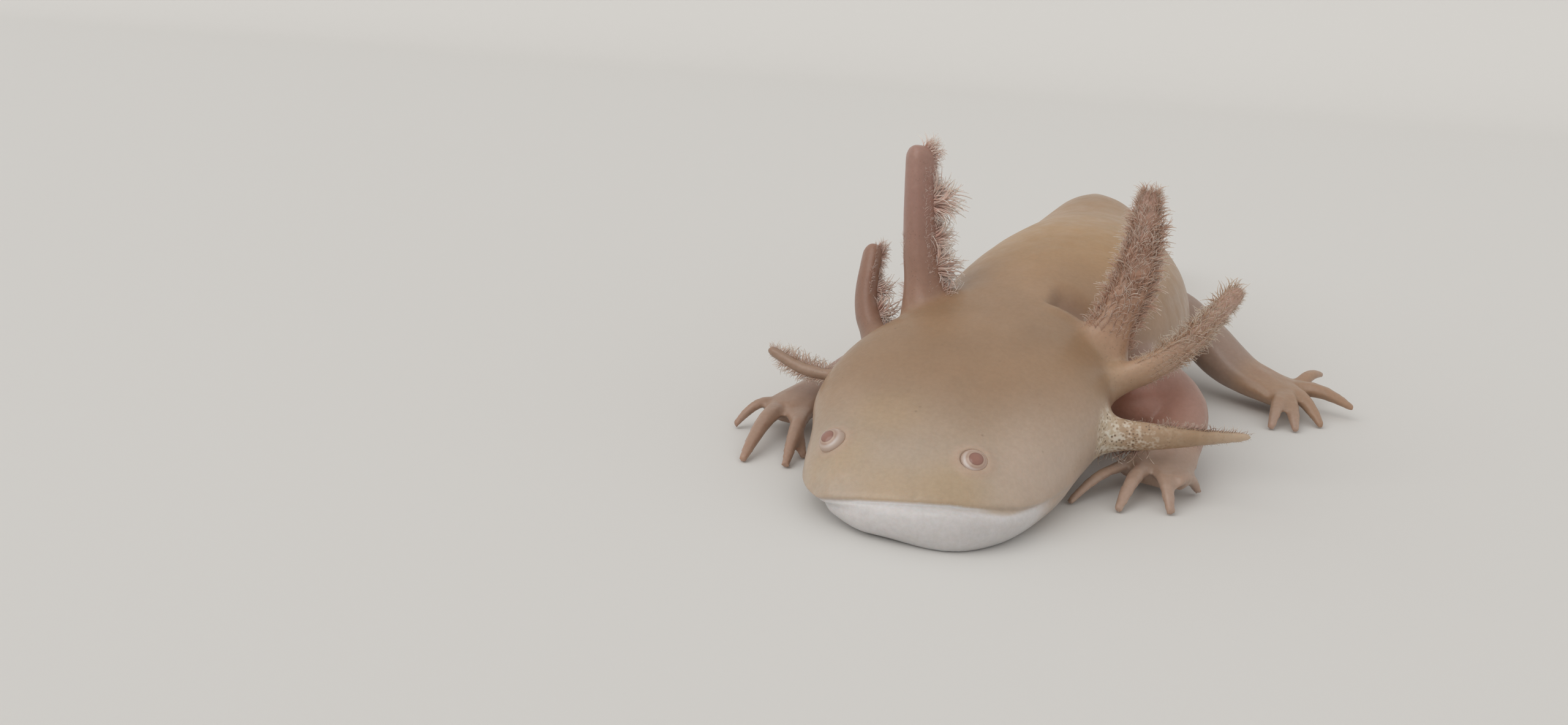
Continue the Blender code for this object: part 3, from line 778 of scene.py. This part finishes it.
# ---------------------------------------------------------------- the gill fringes
# Rows of soft threads line the trailing side of every stalk, and breathe for the animal. Each is a
# thin curved cone of flesh, rooted in the stalk, that leans towards the tip and clumps when wet.
TUFT_WIDTH = 0.06  # in shares of the stalk
TUFT_FACING = 0.5  # rows have tufts where their turn's cosine is above this
FAN = 0.9  # how far a tuft's threads spread
TIP_LEAN = 1.0
TIP_SHARE = 0.85  # where the threads start to lean over the tip
TIP_REST = 0.15
SPLAY = 0.25
CLUMP_SCALE = 520.0
CLUMP_PULL = 2.2
THREAD_SUNK = 0.12  # how deep threads root, as a share of the stalk's half width
LAST_PLACE = 0.985  # no thread roots nearer to the stalk's tip than this share
THREAD_BENDS = ((0.04, 0.46), (-0.10, 0.30), (0.12, 0.66))  # sway of the middle, droop of the end
THREAD_SLIMMING = 0.72  # share of its thickness that a thread loses towards its end
THREAD_SIDES = 5
THREAD_RINGS = 6
ROW_STEPS = 48
FIRST_SEED = 20
MAP_PATCH = 0.003  # the size of a thread's patch on its stalk's unwrap
# A row: turn round the stalk in degrees from its trailing side, first and last share of the stalk,
# length in millimetres, and how far the threads lean towards the tip. Tufts stand out from the rows:
# the share of each one's middle, and the length of its threads.
FRINGES = {
    "gill_upper_left": {
        "rows": [(turn, 0.08, 1.0, 3.6, 0.9) for turn in (-100, -80, -60, -35)]
        + [(turn, 0.10, 1.0, 2.9, 0.9) for turn in (35, 60, 80, 100)]
        + [(turn, 0.12, 1.0, 2.4, 2.0) for turn in (-125, -145, -165, 175, 155, 135, 118)]
        + [(turn, 0.84, 1.0, 5.6, 3.0) for turn in (-120, -60, 0, 60, 120, 180)],
        "tufts": (),
        "spacing": 0.15,
        "half_thickness": 0.04,
        "clumping": 0.8,
        "colours": ((184, 148, 126), (192, 158, 140), (222, 204, 190)),
    },
    "gill_middle_left": {
        "rows": [(turn, 0.28, 1.0, 2.3, 0.7) for turn in (-100, -75, -45, 45, 70, 95)]
        + [(turn, 0.32, 1.0, 1.9, 1.5) for turn in (-125, -155, 175, 150, 120)],
        "tufts": ((0.92, 2.8),),
        "spacing": 0.15,
        "half_thickness": 0.04,
        "clumping": 0.8,
        "colours": ((184, 152, 128), (192, 164, 142), (224, 210, 194)),
    },
    "gill_lower_left": {
        "rows": [
            (-90, 0.06, 0.42, 3.3, -0.3),
            (-70, 0.06, 0.34, 3.3, -0.2),
            (90, 0.4, 1.0, 2.0, 0.5),
            (70, 0.3, 0.9, 1.7, 0.5),
            (-100, 0.5, 1.0, 0.9, 0.6),
        ],
        "tufts": (),
        "spacing": 0.34,
        "half_thickness": 0.05,
        "clumping": 1.2,
        # The dark roots of these threads are painted shade for the shade under the gill where they hang;
        # their pale tips are their own colour.
        "colours": ((120, 98, 86), (160, 136, 122), (220, 206, 192)),
    },
    "gill_upper_right": {
        "rows": [(turn, 0.05, 1.0, 1.6, 0.2) for turn in (-46, -36, -26, -16, -6, 4, 14, 24, 34)]
        + [(turn, 0.04, 0.85, 1.3, 1.4) for turn in (-62, -76)]
        + [(170, 0.30, 0.46, 1.9, 0.8), (150, 0.1, 0.2, 2.4, 0.6)],
        "tufts": ((0.98, 3.2), (0.66, 6.8), (0.44, 4.6), (0.28, 5.6), (0.10, 5.4)),
        "spacing": 0.16,
        "half_thickness": 0.032,
        "clumping": 0.7,
        "colours": ((204, 164, 150), (224, 198, 186), (246, 238, 230)),
    },
    "gill_middle_right": {
        "rows": [(turn, 0.12, 1.0, 1.6, 0.3) for turn in (-45, -30, -15, 0, 15)]
        + [(-90, 0.5, 1.0, 1.2, 0.6)],
        "tufts": ((0.94, 2.6), (0.62, 4.4), (0.34, 5.8), (0.14, 5.8)),
        "spacing": 0.12,
        "half_thickness": 0.036,
        "clumping": 0.8,
        "colours": ((186, 150, 136), (212, 184, 172), (240, 230, 220)),
    },
    "gill_lower_right": {
        "rows": [
            (-20, 0.15, 1.0, 2.7, 0.1),
            (5, 0.2, 1.0, 2.7, 0.1),
            (25, 0.25, 1.0, 2.3, 0.1),
            (165, 0.3, 0.95, 1.9, 0.3),
            (-165, 0.15, 0.8, 2.3, 0.3),
        ],
        "tufts": (),
        "spacing": 0.26,
        "half_thickness": 0.05,
        "clumping": 0.5,
        "colours": ((190, 162, 146), (212, 190, 176), (236, 226, 216)),
    },
}


def fringe_tree():
    """Sets threads along rows. The rows carry each place's lie and reach."""
    tree = bpy.data.node_groups.new("gill_fringe", "GeometryNodeTree")
    for name, kind in (
        ("Rows", "NodeSocketGeometry"),
        ("Spacing", "NodeSocketFloat"),
        ("Half Thickness", "NodeSocketFloat"),
        ("Splay", "NodeSocketFloat"),
        ("Clumping", "NodeSocketFloat"),
        ("Seed", "NodeSocketInt"),
        ("Finish", "NodeSocketMaterial"),
    ):
        tree.interface.new_socket(name, in_out="INPUT", socket_type=kind)
    tree.interface.new_socket("Fringe", in_out="OUTPUT", socket_type="NodeSocketGeometry")

    def add(kind, **settings):
        node = tree.nodes.new(kind)
        for name, value in settings.items():
            setattr(node, name, value)
        return node

    def feed(node, **sources):
        """Links or sets inputs by name, with _ for a space."""
        for name, source in sources.items():
            set_or_link(tree, node.inputs[name.replace("_", " ")], source)
        return node

    given = add("NodeGroupInput").outputs
    maths = partial(math_node, tree)

    def vectors(operation, first, second):
        node = add("ShaderNodeVectorMath", operation=operation)
        set_or_link(tree, node.inputs[0], first)
        set_or_link(tree, node.inputs["Scale"] if operation == "SCALE" else node.inputs[1], second)
        return node.outputs[0]

    def random_number(low, high, salt):
        node = add("FunctionNodeRandomValue", data_type="FLOAT")
        node.inputs[2].default_value = low
        node.inputs[3].default_value = high
        link(tree, maths("ADD", given["Seed"], salt), node.inputs["Seed"])
        return node.outputs[1]

    def named(name, kind):
        node = add("GeometryNodeInputNamedAttribute", data_type=kind)
        node.inputs["Name"].default_value = name
        return node.outputs[0]

    def stored(geometry, name, value, domain):
        node = add("GeometryNodeStoreNamedAttribute", data_type="FLOAT", domain=domain)
        feed(node, Geometry=geometry, Name=name)
        link(tree, value, node.inputs["Value"])
        return node.outputs[0]

    # One thread, a unit long, in each of its bends.
    threads = add("GeometryNodeJoinGeometry")
    for sway, droop in THREAD_BENDS:
        line = add("GeometryNodeCurveQuadraticBezier")
        feed(line, Resolution=THREAD_RINGS, Start=(0, 0, 0), Middle=(sway, 0, 0.6), End=(droop, 0, 0.85))
        along = add("GeometryNodeSplineParameter").outputs["Factor"]
        marked = stored(line.outputs[0], "along", along, "POINT")
        slimming = maths("MULTIPLY", add("GeometryNodeSplineParameter").outputs["Factor"], THREAD_SLIMMING)
        taper = maths("MULTIPLY", given["Half Thickness"], maths("SUBTRACT", 1.0, slimming))
        circle = feed(add("GeometryNodeCurvePrimitiveCircle"), Resolution=THREAD_SIDES, Radius=1.0)
        around = add("GeometryNodeSplineParameter").outputs["Factor"]
        profile = stored(circle.outputs[0], "around", around, "POINT")
        body = add("GeometryNodeCurveToMesh")
        feed(body, Curve=marked, Profile_Curve=profile, Scale=taper, Fill_Caps=True)
        alone = feed(add("GeometryNodeGeometryToInstance"), Geometry=body.outputs[0])
        link(tree, alone.outputs[0], threads.inputs[0])

    # Places for the threads along the rows.
    rows = feed(add("GeometryNodeMeshToCurve"), Mesh=given["Rows"])
    spaced = add("GeometryNodeResampleCurve", mode="LENGTH")
    feed(spaced, Curve=rows.outputs[0], Length=given["Spacing"])
    share = add("GeometryNodeSplineParameter").outputs["Factor"]
    rooted = stored(spaced.outputs[0], "root", share, "POINT")
    clump = add("ShaderNodeTexNoise")
    feed(clump, Scale=CLUMP_SCALE, Detail=1.0)
    centred = vectors("SUBTRACT", clump.outputs["Color"], (0.5, 0.5, 0.5))
    lean = vectors("SCALE", centred, maths("MULTIPLY", given["Clumping"], CLUMP_PULL))
    jitter = add("FunctionNodeRandomValue", data_type="FLOAT_VECTOR")
    jitter.inputs[0].default_value = (-1, -1, -1)
    jitter.inputs[1].default_value = (1, 1, 1)
    link(tree, given["Seed"], jitter.inputs["Seed"])
    splayed = vectors("SCALE", jitter.outputs[0], given["Splay"])
    lie = vectors("ADD", vectors("ADD", named("lie", "FLOAT_VECTOR"), lean), splayed)
    aligned = add("FunctionNodeAlignRotationToVector", axis="Z")
    link(tree, lie, aligned.inputs["Vector"])
    spin = add("FunctionNodeAxisAngleToRotation")
    spin.inputs["Axis"].default_value = (0, 0, 1)
    link(tree, random_number(-3.14, 3.14, 7), spin.inputs["Angle"])
    turned = add("FunctionNodeRotateRotation", rotation_space="LOCAL")
    link(tree, aligned.outputs[0], turned.inputs[0])
    link(tree, spin.outputs[0], turned.inputs[1])
    reach = maths("MULTIPLY", named("reach", "FLOAT"), random_number(0.55, 1.0, 3))
    placed = add("GeometryNodeInstanceOnPoints")
    feed(placed, Points=rooted, Instance=threads.outputs[0], Pick_Instance=True)
    pick = add("FunctionNodeRandomValue", data_type="INT")
    pick.inputs[4].default_value = 0
    pick.inputs[5].default_value = len(THREAD_BENDS) - 1
    link(tree, maths("ADD", given["Seed"], 11), pick.inputs["Seed"])
    link(tree, pick.outputs[2], placed.inputs["Instance Index"])
    link(tree, turned.outputs[0], placed.inputs["Rotation"])
    link(tree, reach, placed.inputs["Scale"])
    real = feed(add("GeometryNodeRealizeInstances"), Geometry=placed.outputs[0])
    done = feed(add("GeometryNodeSetMaterial"), Geometry=real.outputs[0], Material=given["Finish"])
    link(tree, done.outputs[0], add("NodeGroupOutput").inputs[0])
    return tree


def fringe_rows(stalk, rows, tufts):
    """Lines along the stalk, with the direction and the length of the threads at each place."""
    mesh = bpy.data.meshes.new("fringe_rows")
    places, edges, lies, reaches, numbers = [], [], [], [], []
    for number, (turn, first, last, length, rise) in enumerate(rows):
        turn = math.radians(turn)
        for k in range(ROW_STEPS + 1):
            share = first + (last - first) * k / ROW_STEPS
            along, across, out = stalk.directions(share)
            tufted = tufts and math.cos(turn) > TUFT_FACING
            middle, longest = share, length
            if tufted:
                middle, longest = min(tufts, key=lambda tuft: abs(share - tuft[0]))
            off = (share - middle) / TUFT_WIDTH
            reach = length + (longest - length) * math.exp(-(off**2))
            if not tufted:
                reach *= min(1.0, 0.45 + 1.8 * (1 - share))  # shorter towards the tip
            over_tip = max(share - TIP_SHARE, 0)
            lean = rise + FAN * max(min(off, 1.5), -1.5) + TIP_LEAN * over_tip / TIP_REST
            places.append(on_floor_map(stalk.on_side(min(share, LAST_PLACE), turn, sunk=THREAD_SUNK)))
            lies.append((across * math.sin(turn) + out * math.cos(turn) + along * lean).normalized())
            reaches.append(reach * MM * min(1.0, 0.6 + 1.6 * (share - first)))  # shorter at the start
            numbers.append((number + 0.5) / len(rows))
            if k:
                edges.append((len(places) - 2, len(places) - 1))
    mesh.from_pydata(places, edges, [])
    for name, kind, slot, values in (
        ("lie", "FLOAT_VECTOR", "vector", [value for lie in lies for value in lie]),
        ("reach", "FLOAT", "value", reaches),
        ("row", "FLOAT", "value", numbers),
    ):
        mesh.attributes.new(name, kind, "POINT").data.foreach_set(slot, values)
    return mesh


def colour_ramp(tree, factor, stops):
    """Fades from colour to colour. A stop gives a place from 0 to 1 and a colour."""
    node = tree.nodes.new("ShaderNodeValToRGB")
    elements = node.color_ramp.elements
    elements.remove(elements[1])
    elements[0].position = stops[0][0]
    elements[0].color = (*stops[0][1], 1)
    for position, colour in stops[1:]:
        elements.new(position).color = (*colour, 1)
    link(tree, factor, node.inputs["Fac"])
    return node.outputs["Color"]


def fringe_material(name, root, middle, tip):
    material, tree, shader = new_material(
        name,
        Roughness=0.35,
        Subsurface_Weight=0.3,
        Subsurface_Radius=(1.0, 0.5, 0.4),
        Subsurface_Scale=0.6 * MM,
        Coat_Weight=0.3,
        Coat_Roughness=0.15,
    )
    patches = tree.nodes.new("ShaderNodeTexNoise")
    patches.inputs["Scale"].default_value = 260.0
    patches.inputs["Detail"].default_value = 3.0
    link(tree, tree.nodes.new("ShaderNodeTexCoord").outputs["Object"], patches.inputs["Vector"])
    shift = remap_node(tree, patches.outputs["Fac"], 0.3, 0.7, -0.28, 0.28)
    along = math_node(tree, "ADD", attribute_node(tree, "along"), shift)
    colour = colour_ramp(tree, along, ((0.0, shade(*root)), (0.5, shade(*middle)), (1.0, shade(*tip))))
    link(tree, colour, shader.inputs["Base Color"])
    return material


def lay_out_threads(mesh, chart):
    """Gives each thread a patch at its root's place on an unwrap of the stalk, in the gill's chart."""
    along, around, root, row = (read_values(mesh, name) for name in ("along", "around", "root", "row"))
    corners = np.empty(len(mesh.loops), np.int32)
    mesh.loops.foreach_get("vertex_index", corners)
    across = 0.05 + 0.9 * root[corners] + MAP_PATCH * (around[corners] - 0.5)
    up = (chart + 0.1 + 0.8 * row[corners]) / len(FRINGES) + MAP_PATCH * along[corners]
    unwrap = mesh.uv_layers.new(name="OFBake")
    unwrap.data.foreach_set("uv", np.stack([across, up], 1).astype(np.float32).ravel())


FRINGE_TREE = fringe_tree()
sockets = FRINGE_TREE.interface.items_tree
inputs = {socket.name: socket.identifier for socket in sockets if socket.in_out == "INPUT"}
for chart, (gill, look) in enumerate(FRINGES.items()):
    lines = fringe_rows(stalks[gill], look["rows"], look["tufts"])
    fringe = bpy.data.objects.new(gill + "_fringe", lines)
    bpy.context.scene.collection.objects.link(fringe)
    grow = fringe.modifiers.new("threads", "NODES")
    grow.node_group = FRINGE_TREE
    grow[inputs["Spacing"]] = look["spacing"] * MM
    grow[inputs["Half Thickness"]] = look["half_thickness"]
    grow[inputs["Splay"]] = SPLAY
    grow[inputs["Clumping"]] = look["clumping"]
    grow[inputs["Seed"]] = FIRST_SEED + chart
    grow[inputs["Finish"]] = fringe_material(gill + "_threads", *look["colours"])
    plain_mesh(fringe)
    lay_out_threads(fringe.data, chart)
    fringe.data.shade_smooth()
    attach(fringe, "root")
    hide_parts(gill)

# ---------------------------------------------------------------- the eyes
# Small lidless eyes, each a glossy ball set in a rim of skin, with a rose pupil, a thin pale ring
# and a silvery iris that is brightest towards the snout.
EYEBALL = 2.1
EYE_DOME = 1.45  # half thickness of the ball along its axis
EYE_SINK = 0.72  # how far the ball's middle lies behind the skin
EYE_PATTERN = 2.3  # how far from the ball's axis the pattern of rings ends
GAZE = {"left": (0.22, 0.0, 0.06), "right": (-0.42, 0.0, 0.06)}  # each pupil's turn to its own side
EYE_SEGMENTS = 64
EYE_RINGS = 48


def eye_material():
    material, tree, shader = new_material("eye_gloss", Roughness=0.25, Coat_Weight=0.5, Coat_Roughness=0.06)
    rings = tree.nodes.new("ShaderNodeUVMap")
    rings.uv_map = "rings"
    split = tree.nodes.new("ShaderNodeSeparateXYZ")
    link(tree, rings.outputs["UV"], split.inputs[0])
    round_eye = split.outputs["X"]
    from_middle = split.outputs["Y"]
    bands = colour_ramp(
        tree,
        from_middle,
        (
            (0.0, shade(154, 110, 96)),
            (0.36, shade(146, 103, 89)),
            (0.42, shade(130, 90, 76)),
            (0.48, shade(182, 156, 138)),
            (0.58, shade(170, 142, 126)),
            (0.72, shade(190, 168, 154)),
            (0.86, shade(176, 153, 137)),
            (1.0, shade(174, 152, 134)),
        ),
    )
    # The silver crescent, on the side towards the snout.
    greys = ((0.58, 0.0), (0.67, 0.7), (0.78, 0.12), (0.88, 0.0))
    crescent = colour_ramp(tree, from_middle, [(position, (grey,) * 3) for position, grey in greys])
    off_snout = math_node(tree, "ABSOLUTE", math_node(tree, "SUBTRACT", round_eye, 0.5))
    silver = math_node(tree, "MULTIPLY", crescent, remap_node(tree, off_snout, 0.26, 0.10))
    colour = mix_node(tree, "MIX", silver, bands, (*shade(212, 204, 200), 1))
    link(tree, colour, shader.inputs["Base Color"])
    return material


EYE_FINISH = eye_material()
for side, (centre, outward) in eyes.items():
    ball = bmesh.new()
    bmesh.ops.create_uvsphere(ball, u_segments=EYE_SEGMENTS, v_segments=EYE_RINGS, radius=EYEBALL * MM)
    to_snout = SNOUT - centre
    inward = (to_snout - to_snout.dot(outward) * outward).normalized()
    turn = Matrix((inward, outward.cross(inward), outward)).transposed()
    gaze = turn.inverted() @ (outward + Vector(GAZE[side])).normalized()
    uv = ball.loops.layers.uv.new("rings")
    for face in ball.faces:
        for corner in face.loops:
            place = corner.vert.co / (EYEBALL * MM)
            facing = place.dot(gaze)
            across = math.sqrt(max(1 - facing**2, 0))
            if facing < 0:
                across = 2 - across
            around = math.atan2(place.y, place.x) / (2 * math.pi) + 0.5
            corner[uv].uv = (around, across * EYEBALL / EYE_PATTERN)
    flatten = Matrix.Diagonal((1, 1, EYE_DOME / EYEBALL, 1))
    sink = Matrix.Translation(centre - outward * EYE_SINK * MM)
    ball.transform(sink @ turn.to_4x4() @ flatten)
    mesh = bpy.data.meshes.new(f"eyeball_{side}")
    ball.to_mesh(mesh)
    ball.free()
    mesh.shade_smooth()
    mesh.materials.append(EYE_FINISH)
    eyeball = bpy.data.objects.new(f"eyeball_{side}", mesh)
    bpy.context.scene.collection.objects.link(eyeball)
    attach(eyeball, "root")
    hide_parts(f"eye_{side}")

# ---------------------------------------------------------------- floor, lamps and camera
# A plain pale floor that curves up behind, soft light, and a low camera that looks down on the
# head from in front.
FLOOR_HALF = 1.5
FLOOR_SIDE = 2.5
FLOOR_DROP = 0.1 * MM
CURVE_START = 1.2
CURVE_RADIUS = 0.5
CURVE_STEPS = 16
WALL_TOP = 1.6
FLOOR_COLOUR = (0.72, 0.71, 0.69, 1)
profile = [(-FLOOR_HALF, 0.0), (CURVE_START, 0.0)]
for k in range(1, CURVE_STEPS + 1):
    turn = math.pi / 2 * k / CURVE_STEPS
    profile.append((CURVE_START + CURVE_RADIUS * math.sin(turn), CURVE_RADIUS * (1 - math.cos(turn))))
profile.append((CURVE_START + CURVE_RADIUS, WALL_TOP))
sweep = bmesh.new()
edges = [[sweep.verts.new((x, y, z)) for y, z in profile] for x in (-FLOOR_SIDE, FLOOR_SIDE)]
for k in range(len(profile) - 1):
    sweep.faces.new((edges[0][k], edges[1][k], edges[1][k + 1], edges[0][k + 1]))
floor_mesh = bpy.data.meshes.new("floor")
sweep.to_mesh(floor_mesh)
sweep.free()
floor_mesh.shade_smooth()
floor_mesh.materials.append(new_material("plain_floor", Base_Color=FLOOR_COLOUR, Roughness=0.8)[0])
floor = bpy.data.objects.new("floor", floor_mesh)
floor.location.z = -FLOOR_DROP
bpy.context.scene.collection.objects.link(floor)

# A broad soft sun from above the camera's left shoulder, and even light from all round.
SUN_FROM = (-0.45, -0.65, 0.85)
soft_sun = bpy.data.lights.new("soft_sun", "SUN")
soft_sun.energy = 0.85
soft_sun.angle = math.radians(55)
soft_sun.color = (1.0, 0.985, 0.96)
sun = bpy.data.objects.new("soft_sun", soft_sun)
sun.rotation_euler = (-Vector(SUN_FROM)).to_track_quat("-Z", "Y").to_euler()
bpy.context.scene.collection.objects.link(sun)
world = bpy.data.worlds.new("soft_air")
world.use_nodes = True
world.node_tree.nodes["Background"].inputs["Color"].default_value = (1.0, 0.985, 0.965, 1)
world.node_tree.nodes["Background"].inputs["Strength"].default_value = 0.66
bpy.context.scene.world = world
bpy.context.scene.view_settings.view_transform = "Standard"

CAMERA_PLACE = (42.3, -142.8, 66.0)
CAMERA_TURN, CAMERA_DIP, CAMERA_ROLL = 22.0, 16.0, 3.4
camera_data = bpy.data.cameras.new("camera")
camera_data.sensor_width = 36.0
camera_data.lens = 27.0
camera_data.clip_start = 0.005
camera = bpy.data.objects.new("camera", camera_data)
camera.matrix_world = (
    Matrix.Translation(on_floor_map(CAMERA_PLACE))
    @ Matrix.Rotation(math.radians(CAMERA_TURN), 4, "Z")
    @ Matrix.Rotation(math.radians(90 - CAMERA_DIP), 4, "X")
    @ Matrix.Rotation(math.radians(CAMERA_ROLL), 4, "Z")
)
bpy.context.scene.collection.objects.link(camera)
bpy.context.scene.camera = camera
